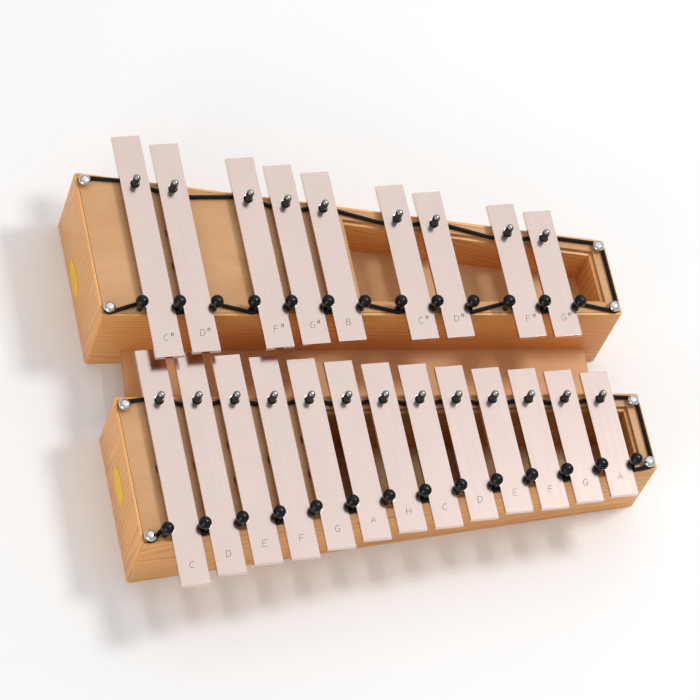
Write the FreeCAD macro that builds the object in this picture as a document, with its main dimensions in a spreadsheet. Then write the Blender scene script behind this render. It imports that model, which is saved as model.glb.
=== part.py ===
"""Chromatic alto glockenspiel: two tapered pine resonator boxes with 13 + 9 lift-off metal bars.

Millimetres. x runs along the rows from the long bars to the short ones, y from the player to
the back, z up. Expressions measure x from the boxes' low end and y from the diatonic box's
back corner at that end; every piece is then placed so that the origin is the middle of the
whole instrument's footprint.
"""
import FreeCAD, Part
import Sketcher
import math
import os

DIMENSIONS = {
    # Boxes. "low" is the end with the long bars, "high" the end with the short ones.
    "case_long": 369,
    "centre_y": 23.87,
    "dia_back_low": 0,
    "dia_back_high": -29,
    "dia_front_low": -110.2,
    "dia_front_high": -88,
    "dia_top": 58.5,
    "chro_back_low": 169.2,
    "chro_back_high": 87.4,
    "chro_front_low": 56.6,
    "chro_front_high": 27.6,
    "chro_top": 69,
    "wall_thick": 12.5,
    "lip_thick": 2,
    "floor_thick": 4,
    "dia_floor_rise": 0,
    "chro_floor_rise": 29,
    # Plywood top: closed over the long bars, open over the short ones.
    "sheet_thick": 3,
    "rim_wide": 10.4,
    "dia_cover_end": 143.5,
    "chro_cover_end": 183,
    "sound_hole_radius": 6.75,
    "sound_hole_shift": -3,
    "sound_hole_gap": 26.4,
    # Partitions inside the boxes.
    "divider_thick": 4,
    "divider_drop": 5,
    "divider_one": 169.9,
    "divider_two": 247.2,
    # Bars. A row's longest is the length a bar sounding the low C would have in that row's
    # stock; each semitone above it is shorter by the 24th root of two.
    "bar_wide": 20,
    "bar_thick": 3,
    "dia_bar_longest": 174.7,
    "chro_bar_longest": 178.2,
    "bar_pitch": 25.75,
    "dia_first_bar": 29.2,
    "chro_first_bar": 39.8,
    "hole_share": 0.22,
    "bar_hole_radius": 3.2,
    "bar_lift": 3.2,
    # Pins, sleeves, guide balls, corner nails and the elastic cord.
    "pin_radius": 1,
    "pin_depth": 14,
    "dia_pin_inset_low": 5.4,
    "dia_pin_inset_high": 7.3,
    "chro_pin_inset_low": 6.4,
    "chro_pin_inset_high": 8.4,
    "sleeve_radius": 2.5,
    "sleeve_top": 14.7,
    "pin_head_radius": 2.2,
    "pin_head_high": 1.7,
    "ball_inset": 5,
    "ball_radius": 4.5,
    "ball_rise": 11,
    "collar_radius": 2,
    "nail_end_inset": 6,
    "nail_front_inset": 5,
    "nail_back_inset": 7.2,
    "nail_radius": 1.5,
    "nail_depth": 15,
    "nail_head_radius": 4.2,
    "nail_head_high": 3,
    "nail_head_rise": 3.1,
    "cord_radius": 1.5,
    "cord_slack": 0.05,
    # Board between the boxes, and the oval labels on the low ends.
    "board_long": 334.5,
    "board_start": 17.5,
    "board_thick": 4.5,
    "board_rise": 14.5,
    "board_gap": 0.4,
    "board_groove": 4,
    "label_long": 28,
    "label_high": 17,
    "label_thick": 0.3,
    "dia_label_y": -51.6,
    "dia_label_rise": 28,
    "chro_label_y": 115.3,
    "chro_label_rise": 16,
}

# Bars of each row: note name, slot along the row, semitones above the low C.
DIATONIC_BARS = [
    ("c5", 0, 0), ("d5", 1, 2), ("e5", 2, 4), ("f5", 3, 5), ("g5", 4, 7), ("a5", 5, 9), ("b5", 6, 11),
    ("c6", 7, 12), ("d6", 8, 14), ("e6", 9, 16), ("f6", 10, 17), ("g6", 11, 19), ("a6", 12, 21),
]
CHROMATIC_BARS = [
    ("c_sharp_5", 0, 1), ("d_sharp_5", 1, 3), ("f_sharp_5", 3, 6), ("g_sharp_5", 4, 8),
    ("b_flat_5", 5, 10), ("c_sharp_6", 7, 13), ("d_sharp_6", 8, 15), ("f_sharp_6", 10, 18),
    ("g_sharp_6", 11, 20),
]
# Sound holes of each cover: the slot they lie under and how many there are.
DIATONIC_HOLES = [(0, 1), (1, 1), (2, 2), (3, 1), (4, 2)]
CHROMATIC_HOLES = [(1, 2)]

ROWS = {
    "dia": {"name": "diatonic", "bars": DIATONIC_BARS, "slots": 13, "holes": DIATONIC_HOLES,
            "dividers": ["Dims.dia_cover_end - Dims.divider_thick / 2", "Dims.divider_one",
                         "Dims.divider_two"]},
    "chro": {"name": "chromatic", "bars": CHROMATIC_BARS, "slots": 12, "holes": CHROMATIC_HOLES,
             "dividers": ["Dims.chro_cover_end - Dims.divider_thick / 2"]},
}

os.makedirs("parts", exist_ok=True)
doc = FreeCAD.newDocument("Glockenspiel")
sub_parts = []


def make_sheet():
    """Driving dimensions, one aliased cell each."""
    sheet = doc.addObject("Spreadsheet::Sheet", "Dims")
    for line, (alias, size) in enumerate(DIMENSIONS.items(), start=1):
        sheet.set(f"A{line}", alias)
        sheet.set(f"B{line}", str(size))
        sheet.setAlias(f"B{line}", alias)
    doc.recompute()
    return sheet


dims = make_sheet()


def sub_part(thing, label):
    """Keep a finished piece under the name of its file."""
    thing.Label = label
    sub_parts.append(thing)
    return thing


def place(thing, x, y, z):
    """Put a piece at x, y, z, given as expressions in the boxes' own measures."""
    thing.setExpression("Placement.Base.x", f"({x}) - Dims.case_long / 2")
    thing.setExpression("Placement.Base.y", f"({y}) - Dims.centre_y")
    thing.setExpression("Placement.Base.z", z)
    return thing


def front(row, x):
    """y of a box's front face at x."""
    rise = f"(Dims.{row}_front_high - Dims.{row}_front_low)"
    return f"(Dims.{row}_front_low + {rise} * ({x}) / Dims.case_long)"


def back(row, x):
    """y of a box's back face at x."""
    rise = f"(Dims.{row}_back_high - Dims.{row}_back_low)"
    return f"(Dims.{row}_back_low + {rise} * ({x}) / Dims.case_long)"


def inset_corners(row, inset):
    """The box outline's four corners, moved inwards by inset: front low, front high, back high, low."""
    low = f"{inset}"
    high = f"(Dims.case_long - {inset})"
    return [
        (low, f"{front(row, low)} + {inset}"),
        (high, f"{front(row, high)} + {inset}"),
        (high, f"{back(row, high)} - {inset}"),
        (low, f"{back(row, low)} - {inset}"),
    ]


def plan_sketch(body, name, corners):
    """A closed outline seen from above, each corner held by its two distances."""
    sketch = body.newObject("Sketcher::SketchObject", name)
    plane = next(item for item in body.Origin.OriginFeatures if item.Role == "XY_Plane")
    sketch.AttachmentSupport = [(plane, "")]
    sketch.MapMode = "FlatFace"
    count = len(corners)
    for index in range(count):
        start = FreeCAD.Vector(math.cos(index), math.sin(index), 0)
        end = FreeCAD.Vector(math.cos(index + 1), math.sin(index + 1), 0)
        sketch.addGeometry(Part.LineSegment(start, end))
    for index in range(count):
        sketch.addConstraint(Sketcher.Constraint("Coincident", index, 2, (index + 1) % count, 1))
    for index, (x, y) in enumerate(corners):
        across = sketch.addConstraint(Sketcher.Constraint("DistanceX", -1, 1, index, 1, 1.0))
        sketch.setExpression(f"Constraints[{across}]", x)
        along = sketch.addConstraint(Sketcher.Constraint("DistanceY", -1, 1, index, 1, 1.0))
        sketch.setExpression(f"Constraints[{along}]", y)
    return sketch


def hole_sketch(body, name, centres, radius):
    """Round holes of one radius, each centre held by its two distances."""
    sketch = body.newObject("Sketcher::SketchObject", name)
    plane = next(item for item in body.Origin.OriginFeatures if item.Role == "XY_Plane")
    sketch.AttachmentSupport = [(plane, "")]
    sketch.MapMode = "FlatFace"
    for index, (x, y) in enumerate(centres):
        sketch.addGeometry(Part.Circle(FreeCAD.Vector(index, 0, 0), FreeCAD.Vector(0, 0, 1), 1))
        size = sketch.addConstraint(Sketcher.Constraint("Radius", index, 1.0))
        sketch.setExpression(f"Constraints[{size}]", radius)
        across = sketch.addConstraint(Sketcher.Constraint("DistanceX", -1, 1, index, 3, 1.0))
        sketch.setExpression(f"Constraints[{across}]", x)
        along = sketch.addConstraint(Sketcher.Constraint("DistanceY", -1, 1, index, 3, 1.0))
        sketch.setExpression(f"Constraints[{along}]", y)
    return sketch


def pad(body, sketch, height):
    feature = body.newObject("PartDesign::Pad", sketch.Name + "_pad")
    feature.Profile = sketch
    feature.setExpression("Length", height)
    return feature


def cut_through(body, sketch):
    """Cut a sketch's outline upwards, through everything above the base plane."""
    feature = body.newObject("PartDesign::Pocket", sketch.Name + "_cut")
    feature.Profile = sketch
    feature.Type = "ThroughAll"
    feature.Reversed = True
    return feature


def plan_body(name, corners, height):
    """A straight-sided piece: a plan outline padded upwards."""
    body = doc.addObject("PartDesign::Body", name)
    pad(body, plan_sketch(body, name + "_plan", corners), height)
    return body


def wall(name, row, number):
    """One mitred wall of a box, with a thin outer lip that the plywood top drops inside."""
    outer = inset_corners(row, "0")
    lip = inset_corners(row, "Dims.lip_thick")
    inner = inset_corners(row, "Dims.wall_thick")
    after = (number + 1) % 4
    full_plan = [outer[number], outer[after], inner[after], inner[number]]
    lip_plan = [outer[number], outer[after], lip[after], lip[number]]
    body = plan_body(name, full_plan, f"Dims.{row}_top - Dims.sheet_thick")
    pad(body, plan_sketch(body, name + "_lip", lip_plan), f"Dims.{row}_top")
    return place(body, "0", "0", "0")


def floor(row):
    """Plywood bottom, let in between the walls; the taller box carries it at half height."""
    name = f"{ROWS[row]['name']}_floor"
    body = plan_body(name, inset_corners(row, "Dims.wall_thick"), "Dims.floor_thick")
    sub_part(place(body, "0", "0", f"Dims.{row}_floor_rise"), name)


def slot_x(row, slot):
    """x of the middle of a bar slot."""
    return f"(Dims.{row}_first_bar + {slot} * Dims.bar_pitch)"


def middle_y(row, x):
    """y half way between a box's front and back faces."""
    return f"(({front(row, x)} + {back(row, x)}) / 2)"


def sound_hole_centres(row):
    centres = []
    for slot, count in ROWS[row]["holes"]:
        x = f"({slot_x(row, slot)} + Dims.sound_hole_shift)"
        for place_in_group in range(count):
            offset = place_in_group - (count - 1) / 2
            centres.append((x, f"{middle_y(row, x)} + {offset} * Dims.sound_hole_gap"))
    return centres


def top_sheet(row):
    """Plywood top: a cover with sound holes, running on as a rim round the open end."""
    name = f"{ROWS[row]['name']}_top"
    body = plan_body(name, inset_corners(row, "Dims.lip_thick"), "Dims.sheet_thick")
    rim = inset_corners(row, "Dims.rim_wide")
    edge = f"Dims.{row}_cover_end"
    opening = [
        (edge, f"{front(row, edge)} + Dims.rim_wide"),
        rim[1],
        rim[2],
        (edge, f"{back(row, edge)} - Dims.rim_wide"),
    ]
    cut_through(body, plan_sketch(body, name + "_opening", opening))
    holes = hole_sketch(body, name + "_holes", sound_hole_centres(row), "Dims.sound_hole_radius")
    cut_through(body, holes)
    sub_part(place(body, "0", "0", f"Dims.{row}_top - Dims.sheet_thick"), name)


def divider(row, number, x):
    """A thin partition standing across a box, between its long walls."""
    name = f"{ROWS[row]['name']}_divider_{number}"
    left = f"({x} - Dims.divider_thick / 2)"
    right = f"({x} + Dims.divider_thick / 2)"
    corners = [
        (left, f"{front(row, left)} + Dims.wall_thick"),
        (right, f"{front(row, right)} + Dims.wall_thick"),
        (right, f"{back(row, right)} - Dims.wall_thick"),
        (left, f"{back(row, left)} - Dims.wall_thick"),
    ]
    drop = "Dims.sheet_thick" if number == 1 else "Dims.divider_drop"
    foot = f"(Dims.{row}_floor_rise + Dims.floor_thick)"
    body = plan_body(name, corners, f"Dims.{row}_top - {drop} - {foot}")
    sub_part(place(body, "0", "0", foot), name)


def cylinder(name, radius, height):
    shape = doc.addObject("Part::Cylinder", name)
    shape.setExpression("Radius", radius)
    shape.setExpression("Height", height)
    return shape


def dome(name, radius, height):
    """The upper half of an ellipsoid: a domed nail head."""
    shape = doc.addObject("Part::Ellipsoid", name)
    shape.setExpression("Radius1", height)
    shape.setExpression("Radius2", radius)
    shape.setExpression("Radius3", radius)
    shape.Angle1 = 0
    return shape


def joined(name, pieces):
    shape = doc.addObject("Part::MultiFuse", name)
    shape.Shapes = pieces
    return shape


def cut(name, base, tool):
    shape = doc.addObject("Part::Cut", name)
    shape.Base = base
    shape.Tool = tool
    return shape


def group(label, pieces):
    """Identical separate pieces kept together under one name."""
    shape = doc.addObject("Part::Compound", label)
    shape.Links = pieces
    sub_part(shape, label)


def pin_y(row, x):
    """y of a bar pin: its line runs a little further in from the back face at the high end."""
    spread = f"(Dims.{row}_pin_inset_high - Dims.{row}_pin_inset_low)"
    inset = f"(Dims.{row}_pin_inset_low + {spread} * ({x}) / Dims.case_long)"
    return f"({back(row, x)} - {inset})"


def ball_y(row, x):
    return f"({front(row, x)} + Dims.ball_inset)"


def ball_x(row, number):
    """Guide balls stand half a pitch to each side of every bar slot."""
    return f"(Dims.{row}_first_bar + ({number} - 0.5) * Dims.bar_pitch)"


def bar(row, note, slot, semitones):
    """A flat metal bar with one hole over its back node, where its pin comes through."""
    name = f"bar_{note}"
    length = f"(Dims.{row}_bar_longest * pow(2; -{semitones} / 24))"
    x = slot_x(row, slot)
    share = f"{length} * (1 - Dims.hole_share)"
    bottom = f"Dims.{row}_top + Dims.bar_lift"
    blank = doc.addObject("Part::Box", name + "_blank")
    blank.setExpression("Length", "Dims.bar_wide")
    blank.setExpression("Width", length)
    blank.setExpression("Height", "Dims.bar_thick")
    place(blank, f"{x} - Dims.bar_wide / 2", f"{pin_y(row, x)} - {share}", bottom)
    hole = cylinder(name + "_hole", "Dims.bar_hole_radius", "Dims.bar_thick")
    place(hole, x, pin_y(row, x), bottom)
    sub_part(cut(name, blank, hole), name)


def bar_pins(row):
    """Steel nails with domed heads that locate the bars, each in a rubber sleeve."""
    nails = []
    sleeves = []
    for note, slot, _ in ROWS[row]["bars"]:
        x = slot_x(row, slot)
        y = pin_y(row, x)
        top = f"Dims.{row}_top + Dims.sleeve_top"
        shank = cylinder(f"pin_shank_{note}", "Dims.pin_radius", "Dims.pin_depth + Dims.sleeve_top")
        place(shank, x, y, f"Dims.{row}_top - Dims.pin_depth")
        head = place(dome(f"pin_head_{note}", "Dims.pin_head_radius", "Dims.pin_head_high"), x, y, top)
        nails.append(joined(f"pin_{note}", [shank, head]))
        tube = cylinder(f"sleeve_tube_{note}", "Dims.sleeve_radius", "Dims.sleeve_top")
        bore = cylinder(f"sleeve_bore_{note}", "Dims.pin_radius", "Dims.sleeve_top")
        place(tube, x, y, f"Dims.{row}_top")
        place(bore, x, y, f"Dims.{row}_top")
        sleeves.append(cut(f"sleeve_{note}", tube, bore))
    group(f"{ROWS[row]['name']}_bar_pins", nails)
    group(f"{ROWS[row]['name']}_pin_sleeves", sleeves)


def guide_balls(row):
    """Ball-headed plastic guides, each with a collar, pressed on a plain steel pin."""
    pins = []
    balls = []
    for number in range(ROWS[row]["slots"] + 1):
        x = ball_x(row, number)
        y = ball_y(row, x)
        key = f"{row}_{number}"
        pin = cylinder(f"guide_pin_{key}", "Dims.pin_radius", "Dims.pin_depth + Dims.ball_rise")
        pins.append(place(pin, x, y, f"Dims.{row}_top - Dims.pin_depth"))
        ball = doc.addObject("Part::Sphere", f"ball_{key}")
        ball.setExpression("Radius", "Dims.ball_radius")
        place(ball, x, y, f"Dims.{row}_top + Dims.ball_rise")
        collar = cylinder(f"collar_{key}", "Dims.collar_radius", "Dims.ball_rise")
        place(collar, x, y, f"Dims.{row}_top")
        bore = cylinder(f"ball_bore_{key}", "Dims.pin_radius", "Dims.ball_rise")
        place(bore, x, y, f"Dims.{row}_top")
        solid_ball = joined(f"ball_and_collar_{key}", [ball, collar])
        balls.append(cut(f"guide_ball_{key}", solid_ball, bore))
    group(f"{ROWS[row]['name']}_guide_pins", pins)
    group(f"{ROWS[row]['name']}_guide_balls", balls)


def nail_places(row):
    """The four corner nails' centres: front low end, front high end, back high end, back low end."""
    low = "Dims.nail_end_inset"
    high = "(Dims.case_long - Dims.nail_end_inset)"
    return [
        (low, f"{front(row, low)} + Dims.nail_front_inset"),
        (high, f"{front(row, high)} + Dims.nail_front_inset"),
        (high, f"{back(row, high)} - Dims.nail_back_inset"),
        (low, f"{back(row, low)} - Dims.nail_back_inset"),
    ]


def corner_nails(row):
    """Four big domed nails that hold the cord at the box corners."""
    nails = []
    for number, (x, y) in enumerate(nail_places(row)):
        key = f"{row}_{number}"
        shank = cylinder(f"nail_shank_{key}", "Dims.nail_radius", "Dims.nail_depth + Dims.nail_head_rise")
        place(shank, x, y, f"Dims.{row}_top - Dims.nail_depth")
        head = dome(f"nail_head_{key}", "Dims.nail_head_radius", "Dims.nail_head_high")
        place(head, x, y, f"Dims.{row}_top + Dims.nail_head_rise")
        nails.append(joined(f"nail_{key}", [shank, head]))
    group(f"{ROWS[row]['name']}_corner_nails", nails)


def between_ends(row, size, x):
    """A size that changes evenly from the low end to the high end, at x, as a number."""
    low = dims.get(f"{row}_{size}_low")
    high = dims.get(f"{row}_{size}_high")
    return low + (high - low) * x / dims.case_long


def cord_posts(row):
    """What the cord bends round, in order: centre x, y, bend radius and the side it passes.

    It runs from the back nail at the low end along the bar pins, round the high end and home
    along the guide balls, passing pins on alternate sides and nails on the outside (side 1).
    """
    half_cord = dims.cord_radius + dims.cord_slack
    near = dims.nail_end_inset
    far = dims.case_long - near
    front_inset = dims.nail_front_inset
    back_inset = dims.nail_back_inset
    nail = dims.nail_radius + half_cord
    posts = [(near, between_ends(row, "back", near) - back_inset, nail, 1)]
    for count, (_, slot, _) in enumerate(ROWS[row]["bars"]):
        x = dims.get(f"{row}_first_bar") + slot * dims.bar_pitch
        y = between_ends(row, "back", x) - between_ends(row, "pin_inset", x)
        posts.append((x, y, dims.sleeve_radius + half_cord, 1 if count % 2 == 0 else -1))
    posts.append((far, between_ends(row, "back", far) - back_inset, nail, 1))
    posts.append((far, between_ends(row, "front", far) + front_inset, nail, 1))
    for number in reversed(range(ROWS[row]["slots"] + 1)):
        x = dims.get(f"{row}_first_bar") + (number - 0.5) * dims.bar_pitch
        y = between_ends(row, "front", x) + dims.ball_inset
        posts.append((x, y, dims.collar_radius + half_cord, -1 if number % 2 == 0 else 1))
    posts.append((near, between_ends(row, "front", near) + front_inset, nail, 1))
    return posts


def post_point(post, heading, height):
    """The point on a post's bend circle that a run with this heading touches."""
    x, y, radius, side = post
    return FreeCAD.Vector(
        x - dims.case_long / 2 - side * radius * math.sin(heading),
        y - dims.centre_y + side * radius * math.cos(heading),
        height,
    )


def post_arc(post, heading_in, heading_out, height):
    """The cord's bend round a post between two headings."""
    middle = (heading_in + heading_out) / 2
    points = [post_point(post, heading, height) for heading in (heading_in, middle, heading_out)]
    return Part.Arc(*points).toShape()


def run_heading(one, two):
    """Heading of the straight run between two posts, touching both bend circles."""
    gap_x = two[0] - one[0]
    gap_y = two[1] - one[1]
    lean = (one[3] * one[2] - two[3] * two[2]) / math.hypot(gap_x, gap_y)
    return math.atan2(gap_y, gap_x) - math.asin(lean)


def cord(row):
    """The elastic cord, pulled tight round its posts and lying on the box's top."""
    height = dims.get(f"{row}_top") + dims.cord_radius
    posts = cord_posts(row)
    headings = []
    for one, two in zip(posts, posts[1:]):
        heading = run_heading(one, two)
        if headings and heading > headings[-1] + math.pi:
            heading -= 2 * math.pi
        headings.append(heading)
    quarter = math.pi / 2
    headings = [headings[0] + quarter] + headings + [headings[-1] - quarter]
    edges = []
    for number, post in enumerate(posts):
        edges.append(post_arc(post, headings[number], headings[number + 1], height))
        if number + 1 < len(posts):
            start = post_point(post, headings[number + 1], height)
            end = post_point(posts[number + 1], headings[number + 1], height)
            edges.append(Part.LineSegment(start, end).toShape())
    path = Part.Wire(edges)
    start = edges[0].valueAt(edges[0].FirstParameter)
    along = edges[0].tangentAt(edges[0].FirstParameter)
    ring = Part.Wire([Part.makeCircle(dims.cord_radius, start, along)])
    tube = path.makePipeShell([ring], True, False)
    expected = math.pi * dims.cord_radius ** 2 * path.Length
    print(f"{row} cord: {path.Length:.1f} mm, volume {tube.Volume / expected:.4f} of section x length")
    feature = doc.addObject("Part::Feature", f"{ROWS[row]['name']}_cord")
    feature.Shape = tube
    sub_part(feature, f"{ROWS[row]['name']}_cord")


def label(row):
    """A thin oval label on the low end of a box."""
    long_half = dims.label_long / 2
    high_half = dims.label_high / 2
    centre = FreeCAD.Vector(0, 0, 0)
    oval = Part.Ellipse(FreeCAD.Vector(0, long_half, 0), FreeCAD.Vector(0, 0, high_half), centre)
    face = Part.Face(Part.Wire([oval.toShape()]))
    feature = doc.addObject("Part::Feature", f"{ROWS[row]['name']}_label")
    feature.Shape = face.extrude(FreeCAD.Vector(-dims.label_thick, 0, 0))
    place(feature, "0", f"Dims.{row}_label_y", f"Dims.{row}_label_rise")
    sub_part(feature, f"{ROWS[row]['name']}_label")


# Angle, seen from above, between the diatonic box's back face and the rows.
BACK_TILT = "atan((Dims.dia_back_low - Dims.dia_back_high) / Dims.case_long)"


def along_inner_walls(thing, along, across, height):
    """Place a piece by its distance along and behind the diatonic box's slanting back face."""
    x = f"({along}) * cos({BACK_TILT}) + ({across}) * sin({BACK_TILT})"
    y = f"({across}) * cos({BACK_TILT}) - ({along}) * sin({BACK_TILT})"
    thing.Placement = FreeCAD.Placement(FreeCAD.Vector(), FreeCAD.Vector(0, 0, 1), 0)
    thing.setExpression("Placement.Rotation.Angle", f"-{BACK_TILT}")
    return place(thing, x, y, height)


def board_box(name, width):
    box = doc.addObject("Part::Box", name)
    box.setExpression("Length", "Dims.board_long")
    box.setExpression("Width", width)
    box.setExpression("Height", "Dims.board_thick")
    return box


def connecting_board():
    """Thin board that keeps the two boxes apart, glued in a groove in the chromatic box.

    Returns the piece of board inside the groove, to cut the groove with.
    """
    gap = f"((Dims.chro_front_low - Dims.dia_back_low) * cos({BACK_TILT}))"
    board = board_box("connecting_board", f"{gap} - Dims.board_gap + Dims.board_groove")
    along_inner_walls(board, "Dims.board_start", "Dims.board_gap", "Dims.board_rise")
    sub_part(board, "connecting_board")
    tongue = board_box("board_tongue", "Dims.board_groove")
    return along_inner_walls(tongue, "Dims.board_start", gap, "Dims.board_rise")


def box_walls(row, tongue):
    sides = ["front_wall", "high_end_wall", "back_wall", "low_end_wall"]
    for number, side in enumerate(sides):
        name = f"{ROWS[row]['name']}_{side}"
        if name == "chromatic_front_wall":
            piece = cut(name, wall("ungrooved_front_wall", row, number), tongue)
        else:
            piece = wall(name, row, number)
        sub_part(piece, name)


def build():
    tongue = connecting_board()
    for row, layout in ROWS.items():
        box_walls(row, tongue)
        floor(row)
        top_sheet(row)
        for number, x in enumerate(layout["dividers"], start=1):
            divider(row, number, x)
        for note, slot, semitones in layout["bars"]:
            bar(row, note, slot, semitones)
        bar_pins(row)
        guide_balls(row)
        corner_nails(row)
        cord(row)
        label(row)
    doc.recompute()


def check_and_export():
    """Refuse a failed or empty piece, then write one STEP file for each."""
    for thing in doc.Objects:
        if "Invalid" in thing.State or "Error" in thing.State:
            raise RuntimeError(f"{thing.Label} failed: {thing.State}")
    for thing in sub_parts:
        if thing.Shape.isNull() or not thing.Shape.isValid():
            raise RuntimeError(f"{thing.Label} has no valid shape")
    whole = FreeCAD.BoundBox()
    for thing in sub_parts:
        thing.Shape.exportStep(os.path.join("parts", thing.Label + ".step"))
        whole.add(thing.Shape.optimalBoundingBox(False))
        print(f"{thing.Label}: {len(thing.Shape.Solids)} solid(s), {thing.Shape.Volume:.0f} mm3")
    print(f"{len(sub_parts)} nodes, box {whole}")


build()
check_and_export()
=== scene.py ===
"""Looks of the two-box chromatic glockenspiel: pine boxes, flat metal bars, cord, balls and nails."""

import math

import bmesh
import bpy
from mathutils import Matrix, Vector


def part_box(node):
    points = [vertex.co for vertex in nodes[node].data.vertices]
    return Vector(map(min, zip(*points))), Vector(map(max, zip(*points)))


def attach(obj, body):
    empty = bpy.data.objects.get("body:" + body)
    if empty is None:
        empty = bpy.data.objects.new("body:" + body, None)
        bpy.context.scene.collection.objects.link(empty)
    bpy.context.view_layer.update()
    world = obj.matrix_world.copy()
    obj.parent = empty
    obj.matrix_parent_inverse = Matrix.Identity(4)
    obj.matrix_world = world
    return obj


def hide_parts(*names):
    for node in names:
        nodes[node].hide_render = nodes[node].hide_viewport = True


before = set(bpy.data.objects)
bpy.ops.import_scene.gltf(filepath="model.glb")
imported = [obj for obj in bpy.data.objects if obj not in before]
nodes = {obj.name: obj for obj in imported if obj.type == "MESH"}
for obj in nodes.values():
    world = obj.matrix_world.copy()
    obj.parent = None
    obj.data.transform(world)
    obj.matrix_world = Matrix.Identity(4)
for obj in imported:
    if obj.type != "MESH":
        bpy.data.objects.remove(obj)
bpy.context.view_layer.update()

BOXES = {"diatonic": "diatonic_box", "chromatic": "chromatic_box"}
WALLS = ("front_wall", "high_end_wall", "back_wall", "low_end_wall")
MERGE = 1e-6
TINY = 2e-5


# ---------------------------------------------------------------- reading the frame


def welded(node):
    """A bmesh of a CAD node with its doubled vertices joined."""
    mesh = bmesh.new()
    mesh.from_mesh(nodes[node].data)
    bmesh.ops.remove_doubles(mesh, verts=mesh.verts, dist=MERGE)
    return mesh


def solids_of(node):
    """(lowest corner, highest corner) of each separate solid in a CAD node, from low x to high x."""
    mesh = welded(node)
    left = set(mesh.verts)
    found = []
    while left:
        reached = {left.pop()}
        to_visit = list(reached)
        while to_visit:
            vert = to_visit.pop()
            for edge in vert.link_edges:
                other = edge.other_vert(vert)
                if other not in reached:
                    reached.add(other)
                    to_visit.append(other)
        left -= reached
        low = Vector([min(v.co[axis] for v in reached) for axis in range(3)])
        high = Vector([max(v.co[axis] for v in reached) for axis in range(3)])
        found.append((low, high))
    mesh.free()
    return sorted(found, key=lambda pair: (round(pair[0].x, 5), pair[0].y))


def top_loops(node):
    """The closed outlines of a flat CAD node's top face, as lists of (x, y)."""
    mesh = welded(node)
    height = max(v.co.z for v in mesh.verts)
    upper = [f for f in mesh.faces if all(abs(v.co.z - height) < TINY for v in f.verts)]
    rims = {e for f in upper for e in f.edges if sum(g in upper for g in e.link_faces) == 1}
    loops = []
    while rims:
        first = rims.pop()
        chain = [first.verts[0], first.verts[1]]
        while chain[-1] is not chain[0]:
            following = next(e for e in chain[-1].link_edges if e in rims)
            rims.remove(following)
            chain.append(following.other_vert(chain[-1]))
        loops.append([(v.co.x, v.co.y) for v in chain[:-1]])
    mesh.free()
    return loops


def fine_loop(points, count):
    """A loop with more than eight points is a round hole: give it even, finer points."""
    if len(points) <= 8:
        return points
    x = (min(p[0] for p in points) + max(p[0] for p in points)) / 2
    y = (min(p[1] for p in points) + max(p[1] for p in points)) / 2
    radius = (max(p[0] for p in points) - min(p[0] for p in points)) / 2
    turn = 2 * math.pi / count
    return [(x + radius * math.cos(n * turn), y + radius * math.sin(n * turn)) for n in range(count)]


# ---------------------------------------------------------------- building meshes


def add_piece(name, mesh, material, body, replaced=()):
    piece = bpy.data.objects.new(name, mesh)
    bpy.context.scene.collection.objects.link(piece)
    if material is not None:
        mesh.materials.clear()
        mesh.materials.append(material)
    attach(piece, body)
    if replaced:
        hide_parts(*replaced)
    return piece


def smooth_by_angle(mesh, degrees=35):
    work = bmesh.new()
    work.from_mesh(mesh)
    limit = math.radians(degrees)
    for face in work.faces:
        face.smooth = True
    for edge in work.edges:
        edge.smooth = len(edge.link_faces) == 2 and edge.calc_face_angle(0) < limit
    work.to_mesh(mesh)
    work.free()
    return mesh


def evaluated_mesh(thing):
    """The object's mesh with its modifiers or curve shape applied; the object is removed."""
    bpy.context.view_layer.update()
    graph = bpy.context.evaluated_depsgraph_get()
    mesh = bpy.data.meshes.new_from_object(thing.evaluated_get(graph), depsgraph=graph)
    mesh.transform(thing.matrix_world)
    bpy.data.objects.remove(thing)
    return mesh


def plate_mesh(name, loops, low, high, rounding):
    """A flat plate from outlines seen from above, with its edges rounded inside the outline."""
    curve = bpy.data.curves.new(name, "CURVE")
    curve.dimensions = "2D"
    curve.fill_mode = "BOTH"
    curve.extrude = (high - low) / 2 - rounding
    curve.bevel_depth = rounding
    curve.bevel_resolution = 2
    curve.offset = -rounding
    for points in loops:
        spline = curve.splines.new("POLY")
        spline.points.add(len(points) - 1)
        for target, (x, y) in zip(spline.points, points):
            target.co = (x, y, 0, 1)
        spline.use_cyclic_u = True
    holder = bpy.data.objects.new(name, curve)
    bpy.context.scene.collection.objects.link(holder)
    holder.location.z = (high + low) / 2
    mesh = evaluated_mesh(holder)
    work = bmesh.new()
    work.from_mesh(mesh)
    bmesh.ops.remove_doubles(work, verts=work.verts, dist=MERGE)
    bmesh.ops.recalc_face_normals(work, faces=work.faces)
    work.to_mesh(mesh)
    work.free()
    return smooth_by_angle(mesh, 20)


def lathe(work, centre, profile, steps=32):
    """Turn a profile of (radius, height) about the upright axis through centre, into a bmesh."""
    rings = []
    for radius, height in profile:
        if radius < 1e-7:
            rings.append([work.verts.new((centre[0], centre[1], centre[2] + height))])
            continue
        ring = []
        for step in range(steps):
            angle = 2 * math.pi * step / steps
            x = centre[0] + radius * math.cos(angle)
            y = centre[1] + radius * math.sin(angle)
            ring.append(work.verts.new((x, y, centre[2] + height)))
        rings.append(ring)
    for under, over in zip(rings, rings[1:]):
        for step in range(steps):
            after = (step + 1) % steps
            if len(under) == 1:
                work.faces.new((under[0], over[after], over[step]))
            elif len(over) == 1:
                work.faces.new((under[step], under[after], over[0]))
            else:
                work.faces.new((under[step], under[after], over[after], over[step]))


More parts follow.
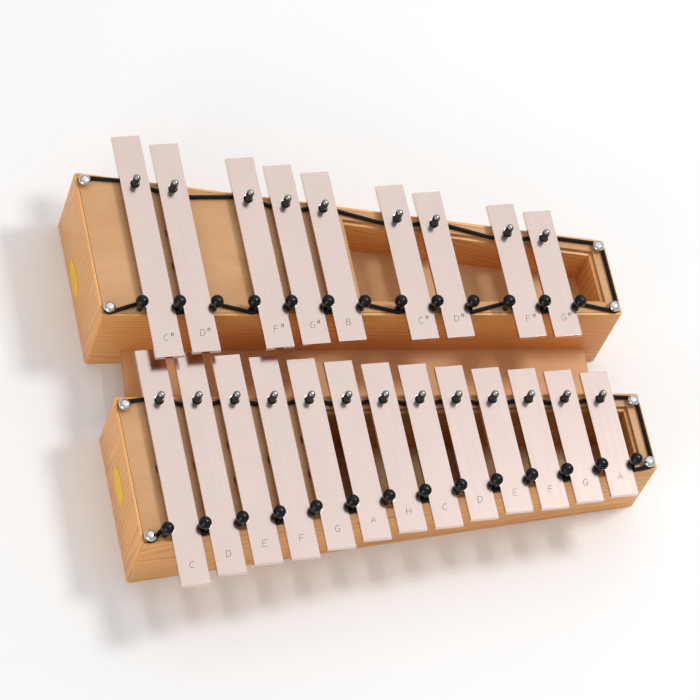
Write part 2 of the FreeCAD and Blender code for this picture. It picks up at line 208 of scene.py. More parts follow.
def turned_piece(name, centres, profile, material, body, replaced):
    """Several equal turned parts in one piece, each profile closed on the axis or on itself."""
    work = bmesh.new()
    for centre in centres:
        lathe(work, centre, profile)
    bmesh.ops.remove_doubles(work, verts=work.verts, dist=MERGE)
    bmesh.ops.recalc_face_normals(work, faces=work.faces)
    mesh = bpy.data.meshes.new(name)
    work.to_mesh(mesh)
    work.free()
    return add_piece(name, smooth_by_angle(mesh, 40), material, body, replaced)


def soften(node, width):
    """Fine rounding on the edges of a CAD node that stays."""
    weld = nodes[node].modifiers.new("weld", "WELD")
    weld.merge_threshold = MERGE
    flat = nodes[node].modifiers.new("flat", "DECIMATE")
    flat.decimate_type = "DISSOLVE"
    flat.angle_limit = math.radians(1)
    bevel = nodes[node].modifiers.new("edge", "BEVEL")
    bevel.width = width
    bevel.segments = 2
    bevel.limit_method = "ANGLE"
    bevel.angle_limit = math.radians(40)


def finish_node(node, material, width=0.0):
    mesh = nodes[node].data
    mesh.materials.clear()
    mesh.materials.append(material)
    if width:
        soften(node, width)


# ---------------------------------------------------------------- materials

GRAIN_CONTRAST = 0.82
PLY_THICK = 0.00105


class Nodes:
    """A small helper to write node trees: each call adds a node and returns its output."""

    def __init__(self, name):
        self.material = bpy.data.materials.new(name)
        self.material.use_nodes = True
        self.tree = self.material.node_tree
        self.shader = next(n for n in self.tree.nodes if n.type == "BSDF_PRINCIPLED")

    def node(self, kind, inputs=None, **settings):
        made = self.tree.nodes.new(kind)
        for key, value in settings.items():
            setattr(made, key, value)
        for key, value in (inputs or {}).items():
            self.put(made.inputs[key], value)
        return made

    def put(self, socket, value):
        if isinstance(value, bpy.types.NodeSocket):
            self.tree.links.new(value, socket)
        else:
            socket.default_value = value

    def place(self, scale, turn=(0, 0, 0), shift=(0, 0, 0)):
        """Object coordinates in metres, turned, shifted and scaled."""
        coords = self.node("ShaderNodeTexCoord").outputs["Object"]
        turned = self.node("ShaderNodeMapping", {"Vector": coords, "Rotation": turn, "Location": shift})
        spread = self.node("ShaderNodeMapping", {"Vector": turned.outputs[0], "Scale": scale})
        return spread.outputs[0]

    def noise(self, vector, detail, rough):
        made = self.node(
            "ShaderNodeTexNoise",
            {"Vector": vector, "Scale": 1.0, "Detail": detail, "Roughness": rough},
        )
        return made.outputs["Fac"]

    def math(self, operation, one, two=0.0, three=0.0):
        made = self.node("ShaderNodeMath", operation=operation)
        for socket, value in zip(made.inputs, (one, two, three)):
            self.put(socket, value)
        return made.outputs[0]

    def ramp(self, value, stops):
        made = self.node("ShaderNodeValToRGB", {"Fac": value})
        ramp = made.color_ramp
        while len(ramp.elements) < len(stops):
            ramp.elements.new(0.5)
        for element, (at, colour) in zip(ramp.elements, stops):
            element.position = at
            element.color = (*colour, 1) if isinstance(colour, tuple) else (colour, colour, colour, 1)
        return made.outputs["Color"]

    def mix(self, factor, one, two, blend="MIX"):
        made = self.node("ShaderNodeMix", data_type="RGBA", blend_type=blend)
        self.put(made.inputs["Factor"], factor)
        for socket, value in ((made.inputs[6], one), (made.inputs[7], two)):
            self.put(socket, (*value, 1) if isinstance(value, tuple) else value)
        return made.outputs[2]

    def bump(self, height, strength, distance):
        made = self.node(
            "ShaderNodeBump", {"Height": height, "Strength": strength, "Distance": distance}
        )
        return made.outputs[0]

    def finish(self, **sockets):
        for key, value in sockets.items():
            self.put(self.shader.inputs[key.replace("_", " ")], value)
        return self.material


def pine(name, turn, shift, light, dark, spacing):
    """Varnished pine. turn brings the grain onto X; spacing is the distance between year rings."""
    made = Nodes(name)
    broad = made.place((5, 42, 42), turn, shift)
    wander = made.noise(broad, 2.0, 0.5)
    turned = made.place((1, 1, 1), turn, shift)
    split = made.node("ShaderNodeSeparateXYZ", {"Vector": turned})
    lean = made.math("MULTIPLY", split.outputs["Z"], 0.55)
    across = made.math("ADD", split.outputs["Y"], lean)
    rings = made.math("MULTIPLY", across, 1 / spacing)
    drift = made.math("MULTIPLY", wander, 5.0)
    phase = made.math("FRACT", made.math("ADD", rings, drift))
    band = made.ramp(
        phase, [(0.0, 0.0), (0.45, 0.16), (0.72, 0.62), (0.86, 1.0), (0.95, 0.25), (1.0, 0.0)]
    )
    fibre = made.noise(made.place((70, 2600, 2600), turn, shift), 3.0, 0.6)
    streak = made.noise(made.place((9, 330, 330), turn, shift), 3.0, 0.6)
    patch = made.noise(made.place((9, 26, 26), turn, shift), 2.0, 0.5)
    normal = made.node("ShaderNodeTexCoord").outputs["Normal"]
    upward = made.math("ABSOLUTE", made.node("ShaderNodeSeparateXYZ", {"Vector": normal}).outputs["Z"])
    beside = made.ramp(upward, [(0.6, 1.0), (0.95, 0.3)])
    band = made.math("MULTIPLY", band, beside)
    share = made.math("MULTIPLY", band, made.math("MULTIPLY_ADD", streak, 1.0, 0.25 * GRAIN_CONTRAST))
    base = made.mix(made.math("MULTIPLY", share, 0.9 * GRAIN_CONTRAST), light, dark)
    shade = made.math("MULTIPLY_ADD", fibre, 0.22, made.math("MULTIPLY_ADD", patch, 0.34, 0.72))
    colour = made.mix(1.0, base, made.node("ShaderNodeCombineColor", {
        "Red": shade, "Green": shade, "Blue": shade}).outputs[0], "MULTIPLY")
    rough = made.math("MULTIPLY_ADD", fibre, 0.18, 0.36)
    relief = made.math("ADD", made.math("MULTIPLY", band, 0.5), fibre)
    return made.finish(
        Base_Color=colour,
        Roughness=rough,
        Normal=made.bump(relief, 0.35, 0.00012),
        Coat_Weight=0.18,
        Coat_Roughness=0.28,
    )


def plywood(name, light, dark, edge, turn, shift):
    """Pale varnished plywood: soft mottled face, dark glue line on its rounded edge, plies at its side."""
    made = Nodes(name)
    mottle = made.noise(made.place((55, 120, 120), turn, shift), 4.0, 0.6)
    figure = made.noise(made.place((7, 30, 30), turn, shift), 2.0, 0.5)
    pores = made.noise(made.place((170, 2300, 2300), turn, shift), 3.0, 0.65)
    base = made.mix(made.ramp(figure, [(0.32, 0.0), (0.68, 1.0)]), light, dark)
    shade = made.math("MULTIPLY_ADD", mottle, 0.16, made.math("MULTIPLY_ADD", pores, 0.16, 0.84))
    tone = made.node("ShaderNodeCombineColor", {"Red": shade, "Green": shade, "Blue": shade})
    face = made.mix(1.0, base, tone.outputs[0], "MULTIPLY")
    coords = made.node("ShaderNodeTexCoord")
    normal = made.node("ShaderNodeSeparateXYZ", {"Vector": coords.outputs["Normal"]})
    facing = made.math("ABSOLUTE", normal.outputs["Z"])
    on_edge = made.ramp(facing, [(0.12, 0.0), (0.3, 1.0), (0.93, 1.0), (0.985, 0.0)])
    height = made.node("ShaderNodeSeparateXYZ", {"Vector": coords.outputs["Object"]})
    layer = made.math("PINGPONG", height.outputs["Z"], PLY_THICK)
    plies = made.ramp(made.math("MULTIPLY", layer, 1 / PLY_THICK), [(0.35, 0.0), (0.62, 1.0)])
    is_side = made.ramp(facing, [(0.05, 1.0), (0.12, 0.0)])
    sided = made.mix(made.math("MULTIPLY", is_side, made.math("MULTIPLY", plies, 0.45)), face, edge)
    colour = made.mix(made.math("MULTIPLY", on_edge, 0.85), sided, edge)
    return made.finish(
        Base_Color=colour,
        Roughness=made.math("MULTIPLY_ADD", pores, 0.16, 0.4),
        Normal=made.bump(pores, 0.22, 0.00006),
        Coat_Weight=0.12,
        Coat_Roughness=0.3,
    )


def brushed_metal(name, colour):
    """Flat metal brushed along Y: fine streaks in gloss and height, with a soft cloudy tone."""
    made = Nodes(name)
    streak = made.noise(made.place((3600, 26, 3600)), 4.0, 0.65)
    long_streak = made.noise(made.place((900, 7, 900)), 3.0, 0.6)
    cloud = made.noise(made.place((38, 22, 38)), 3.0, 0.55)
    mixed = made.math("MULTIPLY_ADD", streak, 0.5, made.math("MULTIPLY", long_streak, 0.5))
    shade = made.math("MULTIPLY_ADD", mixed, 0.12, made.math("MULTIPLY_ADD", cloud, 0.08, 0.9))
    tone = made.node("ShaderNodeCombineColor", {"Red": shade, "Green": shade, "Blue": shade})
    return made.finish(
        Base_Color=made.mix(1.0, tone.outputs[0], colour, "MULTIPLY"),
        Metallic=1.0,
        Roughness=made.math("MULTIPLY_ADD", mixed, 0.12, 0.13),
        Normal=made.bump(mixed, 0.16, 0.00003),
    )


def stamped_metal():
    """The dull floor of a stamped letter, painted dark grey: painted shade in the groove."""
    made = Nodes("stamped_letter")
    groove_shade = made.noise(made.place((1500, 1500, 1500)), 3.0, 0.6)
    return made.finish(
        Base_Color=made.ramp(groove_shade, [(0.3, (0.11, 0.10, 0.10)), (0.7, (0.24, 0.22, 0.215))]),
        Metallic=0.7,
        Roughness=0.6,
    )


def bright_metal(name, dull, bright):
    """Plated metal between two tones, nearly mirror smooth."""
    made = Nodes(name)
    haze = made.noise(made.place((420, 420, 420)), 3.0, 0.6)
    return made.finish(
        Base_Color=made.ramp(haze, [(0.3, dull), (0.7, bright)]),
        Metallic=1.0,
        Roughness=made.math("MULTIPLY_ADD", haze, 0.08, 0.05),
    )


def gloss_black():
    """Polished black plastic with a trace of moulding ripple."""
    made = Nodes("gloss_black_plastic")
    ripple = made.noise(made.place((260, 260, 260)), 2.0, 0.5)
    return made.finish(
        Base_Color=made.ramp(ripple, [(0.3, (0.001, 0.002, 0.003)), (0.7, (0.003, 0.005, 0.006))]),
        Roughness=made.math("MULTIPLY_ADD", ripple, 0.05, 0.12),
        Specular_IOR_Level=0.34,
        Normal=made.bump(ripple, 0.05, 0.0002),
    )


def black_rubber():
    made = Nodes("black_rubber")
    grain = made.noise(made.place((2400, 2400, 2400)), 3.0, 0.6)
    return made.finish(
        Base_Color=made.ramp(grain, [(0.3, (0.009, 0.010, 0.011)), (0.7, (0.020, 0.021, 0.022))]),
        Roughness=made.math("MULTIPLY_ADD", grain, 0.2, 0.36),
        Normal=made.bump(grain, 0.15, 0.00005),
    )


def cord_cloth():
    """Black braided elastic: slightly shiny threads."""
    made = Nodes("braided_elastic")
    thread = made.noise(made.place((3300, 3300, 3300)), 3.0, 0.6)
    return made.finish(
        Base_Color=made.ramp(thread, [(0.3, (0.001, 0.0015, 0.002)), (0.75, (0.006, 0.007, 0.008))]),
        Roughness=0.7,
        Specular_IOR_Level=0.25,
        Normal=made.bump(thread, 0.4, 0.00008),
    )


def label_paper():
    made = Nodes("yellow_label_paper")
    grain = made.noise(made.place((900, 900, 900)), 4.0, 0.6)
    wear = made.noise(made.place((130, 130, 130)), 3.0, 0.6)
    base = made.ramp(wear, [(0.3, (0.90, 0.50, 0.004)), (0.7, (0.95, 0.57, 0.01))])
    return made.finish(
        Base_Color=base,
        Roughness=made.math("MULTIPLY_ADD", grain, 0.2, 0.38),
        Normal=made.bump(grain, 0.1, 0.00005),
    )


def pale_floor():
    made = Nodes("studio_floor")
    cloud = made.noise(made.place((2, 2, 2)), 2.0, 0.5)
    return made.finish(
        Base_Color=made.ramp(cloud, [(0.3, (0.93, 0.93, 0.93)), (0.7, (0.95, 0.95, 0.95))]),
        Roughness=0.7,
    )


QUARTER = math.pi / 2
ALONG_X = (0, 0, 0)
UPRIGHT = (0, QUARTER, 0)
PINE_LIGHT = (0.86, 0.415, 0.125)
PINE_DARK = (0.46, 0.148, 0.030)

LYING = (QUARTER, 0, 0)
# Each wall: material name, how its grain lies, where its pattern starts, distance between rings.
WALL_GRAINS = {
    "diatonic_front_wall": ("pine_a", LYING, (0.3, 0.11, 0.2), 0.0050),
    "diatonic_back_wall": ("pine_b", LYING, (0.9, 0.31, 0.5), 0.0046),
    "diatonic_low_end_wall": ("pine_c", UPRIGHT, (0.1, 0.7, 0.4), 0.0042),
    "diatonic_high_end_wall": ("pine_d", UPRIGHT, (0.6, 0.2, 0.9), 0.0044),
    "chromatic_front_wall": ("pine_e", LYING, (0.45, 0.62, 0.1), 0.0036),
    "chromatic_back_wall": ("pine_f", LYING, (0.22, 0.45, 0.6), 0.0048),
    "chromatic_low_end_wall": ("pine_g", UPRIGHT, (0.8, 0.4, 0.3), 0.0040),
    "chromatic_high_end_wall": ("pine_h", UPRIGHT, (0.35, 0.9, 0.7), 0.0043),
}
PINES = {
    node: pine(name, turn, shift, PINE_LIGHT, PINE_DARK, spacing)
    for node, (name, turn, shift, spacing) in WALL_GRAINS.items()
}
PLY_LIGHT = (0.66, 0.355, 0.165)
PLY_DARK = (0.575, 0.29, 0.120)
GLUE = (0.16, 0.06, 0.022)
plywoods = {
    "diatonic": plywood("ply_a", PLY_LIGHT, PLY_DARK, GLUE, ALONG_X, (0.4, 0.2, 0.1)),
    "chromatic": plywood("ply_b", PLY_LIGHT, PLY_DARK, GLUE, ALONG_X, (0.1, 0.7, 0.5)),
}
inner_ply = plywood("ply_inside", (0.88, 0.58, 0.30), (0.79, 0.48, 0.23), GLUE, ALONG_X, (0.7, 0.1, 0.6))
board_ply = plywood("ply_board", (0.80, 0.46, 0.225), (0.70, 0.37, 0.165), GLUE, ALONG_X, (0.2, 0.5, 0.9))
bar_metal = brushed_metal("brushed_bar_metal", (0.74, 0.605, 0.56))
letter_metal = stamped_metal()
nickel = bright_metal("bright_nickel", (0.70, 0.69, 0.67), (0.80, 0.79, 0.78))
pin_metal = bright_metal("dark_pin_metal", (0.38, 0.38, 0.37), (0.50, 0.50, 0.49))
black_plastic = gloss_black()
rubber = black_rubber()
braid = cord_cloth()
yellow = label_paper()


# ---------------------------------------------------------------- pine walls

CORNER_ROUND = 0.0022
EDGE_ROUND = 0.0004
TOP_ROUND = 0.0005
SHEET_ROUND = 0.0003
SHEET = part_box("diatonic_top")[1].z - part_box("diatonic_top")[0].z


def plan_points(node, height):
    mesh = welded(node)
    found = {(round(v.co.x, 6), round(v.co.y, 6)) for v in mesh.verts if abs(v.co.z - height) < TINY}
    mesh.free()
    return [Vector(p) for p in found]


def nearest(points, target):
    return min(points, key=lambda p: (p - target).length)


def rounded_corner(corner, own, other, inner):
    """Half of a rounded outer corner: from the mitre line to the tangent point on the wall's own face."""
    one = (own - corner).normalized()
    two = (other - corner).normalized()
    half = one.angle(two) / 2
    centre = corner + (one + two).normalized() * CORNER_ROUND / math.sin(half)
    tangent = corner + one * CORNER_ROUND / math.tan(half)
    mitre = (inner - corner).normalized()
    along = (centre - corner).dot(mitre)
    aside = (centre - corner - mitre * along).length
    start = corner + mitre * (along - math.sqrt(CORNER_ROUND**2 - aside**2))
    first = math.atan2(*(start - centre).yx)
    last = math.atan2(*(tangent - centre).yx)
    turn = (last - first + math.pi) % (2 * math.pi) - math.pi
    steps = 5
    angles = [first + turn * n / steps for n in range(steps + 1)]
    return [centre + CORNER_ROUND * Vector((math.cos(a), math.sin(a))) for a in angles]


def wall_piece(row, side, neighbours):
    """One mitred wall with a rounded outer corner at each end and a thin lip along its top."""
    node = f"{row}_{side}"
    low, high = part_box(node)
    shelf = high.z - SHEET
    bottom = plan_points(node, low.z)
    top = plan_points(node, high.z)
    outer = [p for p in bottom if (nearest(top, p) - p).length < TINY]
    inner = [p for p in bottom if (nearest(top, p) - p).length >= TINY]
    lip = [p for p in top if (nearest(bottom, p) - p).length >= TINY]
    start, end = outer
    far = [
        next(p for p in other if (nearest(outer, p) - p).length > 0.01) for other in neighbours(start, end)
    ]
    head = rounded_corner(start, end, far[0], nearest(inner, start))
    tail = rounded_corner(end, start, far[1], nearest(inner, end))
    chain = head + tail[::-1]
    lip_start, lip_end = nearest(lip, start), nearest(lip, end)
    in_start, in_end = nearest(inner, start), nearest(inner, end)
    work = bmesh.new()

    def vert(point, z):
        return work.verts.new((point.x, point.y, z))

    outer_low = [vert(p, low.z) for p in chain]
    outer_high = [vert(p, high.z) for p in chain]
    lip_high = [vert(p, high.z) for p in (lip_start, lip_end)]
    lip_shelf = [vert(p, shelf) for p in (lip_start, lip_end)]
    in_shelf = [vert(p, shelf) for p in (in_start, in_end)]
    in_low = [vert(p, low.z) for p in (in_start, in_end)]
    work.faces.new(outer_low + in_low[::-1])
    work.faces.new(outer_high + lip_high[::-1])
    for n in range(len(chain) - 1):
        work.faces.new((outer_low[n], outer_low[n + 1], outer_high[n + 1], outer_high[n]))
    for strip in ((lip_high, lip_shelf), (lip_shelf, in_shelf), (in_shelf, in_low)):
        work.faces.new((strip[0][0], strip[0][1], strip[1][1], strip[1][0]))
    for n, m in ((0, 0), (1, -1)):
        work.faces.new((outer_low[m], outer_high[m], lip_high[n], lip_shelf[n], in_shelf[n], in_low[n]))
    bmesh.ops.recalc_face_normals(work, faces=work.faces)
    mesh = bpy.data.meshes.new("fine_" + node)
    work.to_mesh(mesh)
    work.free()
    holder = bpy.data.objects.new("wall_work", mesh)
    bpy.context.scene.collection.objects.link(holder)
    if node == "chromatic_front_wall":
        groove = holder.modifiers.new("groove", "BOOLEAN")
        groove.operation = "DIFFERENCE"
        groove.object = nodes["connecting_board"]
        groove.solver = "EXACT"
    bevel = holder.modifiers.new("edge", "BEVEL")
    bevel.width = EDGE_ROUND
    bevel.segments = 2
    bevel.limit_method = "ANGLE"
    bevel.angle_limit = math.radians(30)
    made = smooth_by_angle(evaluated_mesh(holder), 25)
    made.name = "fine_" + node
    return add_piece("fine_" + node, made, PINES[node], BOXES[row], [node])


for row in BOXES:
    outlines = {}
    for side in WALLS:
        node = f"{row}_{side}"
        bottom = plan_points(node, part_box(node)[0].z)
        top = plan_points(node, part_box(node)[1].z)
        outlines[side] = [p for p in bottom if (nearest(top, p) - p).length < TINY]
    for side in WALLS:
        def neighbours(start, end, side=side):
            """The outer corners of the walls that meet this one at its start and at its end."""
            for corner in (start, end):
                yield next(
                    pair for name, pair in outlines.items()
                    if name != side and (nearest(pair, corner) - corner).length < TINY
                )
        wall_piece(row, side, neighbours)


# ---------------------------------------------------------------- tops, bottoms, board

for row, body in BOXES.items():
    node = f"{row}_top"
    low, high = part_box(node)
    loops = [fine_loop(points, 56) for points in top_loops(node)]
    mesh = plate_mesh("fine_" + node, loops, low.z, high.z, TOP_ROUND)
    add_piece("fine_" + node, mesh, plywoods[row], body, [node])
    finish_node(f"{row}_floor", inner_ply)
    finish_node(f"{row}_label", yellow)
for node in nodes:
    if "_divider_" in node:
        finish_node(node, inner_ply, SHEET_ROUND)
finish_node("connecting_board", board_ply, SHEET_ROUND)


# ---------------------------------------------------------------- bars

BAR_ROUND = 0.00022
LETTER_HIGH = 0.0047
LETTER_FROM_END = 0.0122
SLANT = 0.16
STROKE = 0.00019
STROKE_STEP = 3e-6


def arc(x, y, wide, high, start, end, steps=14):
    """Points on an ellipse about x, y, between two angles in degrees."""
    points = []
    for n in range(steps + 1):
        angle = math.radians(start + (end - start) * n / steps)
        points.append((x + wide * math.cos(angle), y + high * math.sin(angle)))
    return points


LETTERS = {
    "C": [arc(0.36, 0.5, 0.36, 0.5, 50, 310)],
    "D": [[(0.0, 0.0), (0.0, 1.0)], [(0.0, 1.0), *arc(0.2, 0.5, 0.46, 0.5, 90, -90), (0.0, 0.0)]],
    "E": [[(0.62, 1.0), (0.0, 1.0), (0.0, 0.0), (0.62, 0.0)], [(0.0, 0.52), (0.5, 0.52)]],
    "F": [[(0.62, 1.0), (0.0, 1.0), (0.0, 0.0)], [(0.0, 0.52), (0.5, 0.52)]],
    "G": [[*arc(0.36, 0.5, 0.36, 0.5, 48, 330), (0.7, 0.46), (0.42, 0.46)]],
    "A": [[(0.0, 0.0), (0.36, 1.0), (0.72, 0.0)], [(0.13, 0.36), (0.59, 0.36)]],
    "H": [[(0.0, 0.0), (0.0, 1.0)], [(0.66, 0.0), (0.66, 1.0)], [(0.0, 0.5), (0.66, 0.5)]],
    "B": [
        [(0.0, 0.0), (0.0, 1.0)],
        [(0.0, 1.0), *arc(0.3, 0.76, 0.24, 0.24, 90, -90), (0.0, 0.52)],
        [(0.3, 0.52), *arc(0.34, 0.26, 0.28, 0.26, 90, -90), (0.0, 0.0)],
    ],
    "#": [
        [(0.2, 0.0), (0.2, 1.0)],
        [(0.62, 0.0), (0.62, 1.0)],
        [(0.0, 0.32), (0.82, 0.32)],
        [(0.0, 0.68), (0.82, 0.68)],
    ],
}
NOTE_LETTERS = {"b": "H", "b_flat": "B"}


def stamp_strokes(note):
    """The note's letter and, for a sharp, a small raised sign, as strokes in letter heights."""
    key = note.rsplit("_", 1)[0] if "_" in note else note[:-1]
    if key in NOTE_LETTERS:
        return LETTERS[NOTE_LETTERS[key]]
    strokes = list(LETTERS[key[0].upper()])
    if key.endswith("_sharp"):
        for stroke in LETTERS["#"]:
            strokes.append([(1.0 + 0.62 * x, 0.62 + 0.62 * y) for x, y in stroke])
    return strokes


def stroke_cutter(strokes, x, y, z):
    """Round-bottomed tubes along the strokes, half sunk in the plane z."""
    curve = bpy.data.curves.new("stamp", "CURVE")
    curve.dimensions = "3D"
    curve.bevel_depth = STROKE
    curve.bevel_resolution = 1
    curve.use_fill_caps = True
    for number, stroke in enumerate(strokes):
        spline = curve.splines.new("POLY")
        spline.points.add(len(stroke) - 1)
        for target, (across, up) in zip(spline.points, stroke):
            shift = STROKE_STEP * number
            px = x + (across - 0.36 + SLANT * (up - 0.5)) * LETTER_HIGH
            target.co = (px, y + up * LETTER_HIGH, z + shift, 1)
    holder = bpy.data.objects.new("stamp", curve)
    bpy.context.scene.collection.objects.link(holder)
    mesh = evaluated_mesh(holder)
    # The cutter's faces carry the letter material, whose dark grey is painted shade in the stamped groove.
    mesh.materials.clear()
    mesh.materials.append(letter_metal)
    cutter = bpy.data.objects.new("stamp_cutter", mesh)
    bpy.context.scene.collection.objects.link(cutter)
    return cutter


def bar_piece(node):
    note = node[len("bar_"):]
    low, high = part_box(node)
    loops = [fine_loop(points, 40) for points in top_loops(node)]
    mesh = plate_mesh("fine_" + node, loops, low.z, high.z, BAR_ROUND)
    mesh.materials.clear()
    mesh.materials.append(bar_metal)
    holder = bpy.data.objects.new("bar_work", mesh)
    bpy.context.scene.collection.objects.link(holder)
    middle = (low.x + high.x) / 2
    cutter = stroke_cutter(stamp_strokes(note), middle, low.y + LETTER_FROM_END, high.z)
    stamp = holder.modifiers.new("stamp", "BOOLEAN")
    stamp.operation = "DIFFERENCE"
    stamp.object = cutter
    stamp.solver = "EXACT"
    stamp.use_self = True
    stamp.material_mode = "TRANSFER"
    made = evaluated_mesh(holder)
    bpy.data.objects.remove(cutter)
    for face in made.polygons:
        face.use_smooth = False
    made.name = "fine_" + node
    return add_piece("fine_" + node, made, None, node, [node])


for node in sorted(nodes):
    if node.startswith("bar_"):
        bar_piece(node)


# ---------------------------------------------------------------- pins, sleeves, balls, nails

PIN_SHANK = 0.001
PIN_TIP = 0.003
SLEEVE_ROUND = 0.0004
COLLAR = 0.002
NAIL_SHANK = 0.0015
NAIL_RISE = 0.0031
NAIL_TIP = 0.004
NAIL_RIM = 0.0003
BALL_NECK = 0.0005
BALL_STEPS = 18


def middles(node, height=None):
    """Centre of each solid in a node seen from above, at a height."""
    found = []
    for low, high in solids_of(node):
        z = low.z if height is None else height
        found.append(((low.x + high.x) / 2, (low.y + high.y) / 2, z))
    return found


def dome(radius, high, base, steps=8):
    """Profile of a flattened dome from its rim to its tip."""
    points = []
    for n in range(steps + 1):
        angle = QUARTER * n / steps
        points.append((radius * math.cos(angle) if n < steps else 0.0, base + high * math.sin(angle)))
    return points


def size_of(node):
    low, high = solids_of(node)[0]
    return (high.x - low.x) / 2, high.z - low.z


for row, body in BOXES.items():
    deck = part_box(f"{row}_top")[1].z
    sleeve_radius, sleeve_high = size_of(f"{row}_pin_sleeves")
    pin_head = size_of(f"{row}_bar_pins")[0]
    soft = SLEEVE_ROUND
    turned_piece(
        f"fine_{row}_pin_sleeves",
        middles(f"{row}_pin_sleeves", deck),
        [
            (PIN_SHANK, 0.0), (sleeve_radius - soft, 0.0), (sleeve_radius, soft),
            (sleeve_radius, sleeve_high - soft), (sleeve_radius - 0.3 * soft, sleeve_high - 0.3 * soft),
            (sleeve_radius - soft, sleeve_high), (PIN_SHANK, sleeve_high), (PIN_SHANK, 0.0),
        ],
        rubber, body, [f"{row}_pin_sleeves"],
    )
    head_base = sleeve_high
    head_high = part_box(f"{row}_bar_pins")[1].z - deck - sleeve_high
    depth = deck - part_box(f"{row}_bar_pins")[0].z
    turned_piece(
        f"fine_{row}_bar_pins",
        middles(f"{row}_bar_pins", deck),
        [(0.0, -depth), (0.5 * PIN_SHANK, PIN_TIP / 2 - depth), (PIN_SHANK, PIN_TIP - depth),
         (PIN_SHANK, head_base),
         *dome(pin_head, head_high, head_base)],
        pin_metal, body, [f"{row}_bar_pins"],
    )
    ball_radius, ball_long = size_of(f"{row}_guide_balls")
    centre_high = ball_long - ball_radius
    meet = math.asin(COLLAR / ball_radius)
    ball_profile = [(0.0, 0.0), (COLLAR, 0.0)]
    ball_profile.append((COLLAR, centre_high - ball_radius * math.cos(meet) - BALL_NECK))
    for n in range(BALL_STEPS + 1):
        angle = meet * 1.15 + (math.pi - meet * 1.15) * n / BALL_STEPS
        radius = ball_radius * math.sin(angle) if n < BALL_STEPS else 0.0
        ball_profile.append((radius, centre_high - ball_radius * math.cos(angle)))
    turned_piece(
        f"fine_{row}_guide_balls",
        middles(f"{row}_guide_balls", deck),
        ball_profile,
        black_plastic, body, [f"{row}_guide_balls"],
    )
    finish_node(f"{row}_guide_pins", nickel)
    nail_head = size_of(f"{row}_corner_nails")[0]
    nail_low, nail_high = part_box(f"{row}_corner_nails")
    nail_depth = deck - nail_low.z
    thickness = nail_high.z - deck - NAIL_RISE
    turned_piece(
        f"fine_{row}_corner_nails",
        middles(f"{row}_corner_nails", deck),
        [(0.0, -nail_depth), (0.6 * NAIL_SHANK, NAIL_TIP / 2 - nail_depth),
         (NAIL_SHANK, NAIL_TIP - nail_depth),
         (NAIL_SHANK, NAIL_RISE), (nail_head - 0.0005, NAIL_RISE), (nail_head - 0.0001, NAIL_RISE + 0.0001),
         *dome(nail_head, thickness - NAIL_RIM, NAIL_RISE + NAIL_RIM, 12)],
        nickel, body, [f"{row}_corner_nails"],
    )


# ---------------------------------------------------------------- elastic cords

CORD_SLACK = 0.00005
RINGS_APART = 0.0004
AROUND = 24
STRANDS = 6
BRAID_PITCH = 0.0085
BRAID_DEEP = 0.00022
END_TAPER = 0.0008


def cord_posts(row, cord_radius):
    """(x, y, bend radius, side) of all that the cord bends round, in order along it."""
    half = cord_radius + CORD_SLACK
    nails = sorted(middles(f"{row}_corner_nails"), key=lambda p: (p[0] > 0, p[1]))
    front_low, back_low, front_high, back_high = nails
    posts = [(*back_low[:2], NAIL_SHANK + half, 1)]
    sleeve = size_of(f"{row}_pin_sleeves")[0]
    for count, (x, y, _) in enumerate(middles(f"{row}_pin_sleeves")):
        posts.append((x, y, sleeve + half, 1 if count % 2 == 0 else -1))
    posts.append((*back_high[:2], NAIL_SHANK + half, 1))
    posts.append((*front_high[:2], NAIL_SHANK + half, 1))
    balls = list(enumerate(middles(f"{row}_guide_balls")))
    for number, (x, y, _) in reversed(balls):
        posts.append((x, y, COLLAR + half, -1 if number % 2 == 0 else 1))
    posts.append((*front_low[:2], NAIL_SHANK + half, 1))
    return posts


def cord_path(row, cord_radius):
    """Points along the cord's middle, close together, as it weaves round its posts."""
    posts = cord_posts(row, cord_radius)
    headings = []
    for one, two in zip(posts, posts[1:]):
        across, up = two[0] - one[0], two[1] - one[1]
        lean = (one[3] * one[2] - two[3] * two[2]) / math.hypot(across, up)
        heading = math.atan2(up, across) - math.asin(lean)
        if headings and heading > headings[-1] + math.pi:
            heading -= 2 * math.pi
        headings.append(heading)
    headings = [headings[0] + QUARTER] + headings + [headings[-1] - QUARTER]
    corners = []
    for number, (x, y, radius, side) in enumerate(posts):
        turn = headings[number + 1] - headings[number]
        steps = max(2, math.ceil(abs(turn) * radius / RINGS_APART))
        for n in range(steps + 1):
            heading = headings[number] + turn * n / steps
            across = -side * radius * math.sin(heading)
            up = side * radius * math.cos(heading)
            corners.append(Vector((x + across, y + up)))
    points = [corners[0]]
    for corner in corners[1:]:
        gap = (corner - points[-1]).length
        steps = max(1, math.ceil(gap / RINGS_APART))
        start = points[-1]
        points += [start.lerp(corner, (n + 1) / steps) for n in range(steps)]
    return points


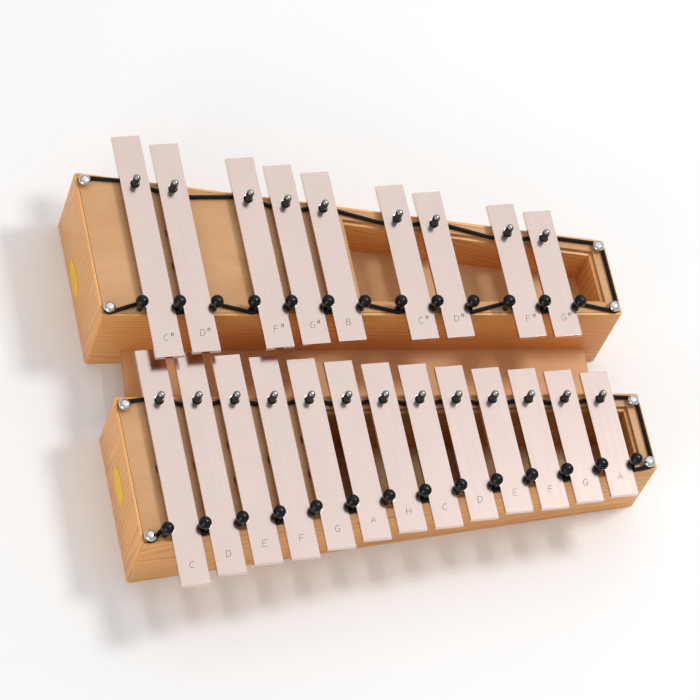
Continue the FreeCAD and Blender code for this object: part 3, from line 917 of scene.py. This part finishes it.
def cord_piece(row, body):
    """A braided tube: crossing strands raised on its skin."""
    low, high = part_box(f"{row}_cord")
    radius = (high.z - low.z) / 2
    height = (high.z + low.z) / 2
    points = cord_path(row, radius)
    work = bmesh.new()
    rings = []
    travelled = 0.0
    for number, point in enumerate(points):
        before = points[max(number - 1, 0)]
        after = points[min(number + 1, len(points) - 1)]
        travelled += (point - before).length
        along = (after - before).normalized()
        side = Vector((-along.y, along.x))
        twist = 2 * math.pi * travelled / BRAID_PITCH
        end_gap = min(number, len(points) - 1 - number) * RINGS_APART
        taper = min(1.0, 0.7 + 0.3 * end_gap / END_TAPER)
        ring = []
        for n in range(AROUND):
            angle = 2 * math.pi * n / AROUND
            one = math.sin((STRANDS * angle + STRANDS * twist) / 2)
            two = math.sin((STRANDS * angle - STRANDS * twist) / 2)
            here = (radius - BRAID_DEEP * (1 - abs(one * two))) * taper
            flat = side * here * math.cos(angle)
            z = height + here * math.sin(angle)
            ring.append(work.verts.new((point.x + flat.x, point.y + flat.y, z)))
        rings.append(ring)
    for one, two in zip(rings, rings[1:]):
        for n in range(AROUND):
            m = (n + 1) % AROUND
            work.faces.new((one[n], one[m], two[m], two[n]))
    work.faces.new(rings[0][::-1])
    work.faces.new(rings[-1])
    bmesh.ops.recalc_face_normals(work, faces=work.faces)
    mesh = bpy.data.meshes.new(f"fine_{row}_cord")
    work.to_mesh(mesh)
    work.free()
    for face in mesh.polygons:
        face.use_smooth = True
    add_piece(f"fine_{row}_cord", mesh, braid, body, [f"{row}_cord"])


for row, body in BOXES.items():
    cord_piece(row, body)


# ---------------------------------------------------------------- studio

FLOOR_HALF = 12.0
ground = bpy.data.meshes.new("studio_floor")
corner_signs = ((-1, -1), (1, -1), (1, 1), (-1, 1))
corners = [(FLOOR_HALF * x, FLOOR_HALF * y, 0) for x, y in corner_signs]
ground.from_pydata(corners, [], [(0, 1, 2, 3)])
ground.materials.append(pale_floor())
floor = bpy.data.objects.new("studio_floor", ground)
bpy.context.scene.collection.objects.link(floor)


def area_light(name, direction, distance, size, power):
    """A square softbox that faces the instrument from a direction."""
    lamp = bpy.data.lights.new(name, "AREA")
    lamp.shape = "SQUARE"
    lamp.size = size
    lamp.energy = power
    holder = bpy.data.objects.new(name, lamp)
    bpy.context.scene.collection.objects.link(holder)
    towards = Vector(direction).normalized()
    holder.location = towards * distance
    holder.rotation_mode = "QUATERNION"
    holder.rotation_quaternion = towards.to_track_quat("Z", "Y")
    holder.visible_camera = False


area_light("wide_softbox", (0.29, 0.30, 0.90), 2.2, 3.2, 16)
area_light("key_lamp", (0.49, 0.08, 0.87), 2.2, 0.4, 17)
area_light("left_fill", (-0.82, -0.62, 0.42), 2.4, 1.2, 13)

world = bpy.data.worlds.new("studio_world")
world.use_nodes = True
bpy.context.scene.world = world
tree = world.node_tree
background = next(n for n in tree.nodes if n.type == "BACKGROUND")
coords = tree.nodes.new("ShaderNodeTexCoord")
split = tree.nodes.new("ShaderNodeSeparateXYZ")
ramp = tree.nodes.new("ShaderNodeValToRGB")
tree.links.new(coords.outputs["Generated"], split.inputs[0])
tree.links.new(split.outputs["Z"], ramp.inputs["Fac"])
tree.links.new(ramp.outputs["Color"], background.inputs["Color"])
for element, (at, value) in zip(ramp.color_ramp.elements, ((0.2, 0.5), (0.42, 0.85))):
    element.position = at
    element.color = (value, value, value, 1)
background.inputs["Strength"].default_value = 0.6

CAMERA_AT = Vector((-0.74312, -1.09092, 2.18948))
CAMERA_BACK = -Vector((0.291464, 0.435249, -0.851826))
CAMERA_RIGHT = Vector((0.953768, -0.200476, 0.223909))
lens = bpy.data.cameras.new("studio_camera")
lens.lens = 188.0
lens.sensor_width = 36.0
lens.clip_start = 0.05
camera = bpy.data.objects.new("studio_camera", lens)
bpy.context.scene.collection.objects.link(camera)
up = CAMERA_BACK.cross(CAMERA_RIGHT).normalized()
turned = Matrix((CAMERA_RIGHT, up, CAMERA_BACK)).transposed().to_4x4()
camera.matrix_world = Matrix.Translation(CAMERA_AT) @ turned
bpy.context.scene.camera = camera
bpy.context.scene.view_settings.view_transform = "Standard"
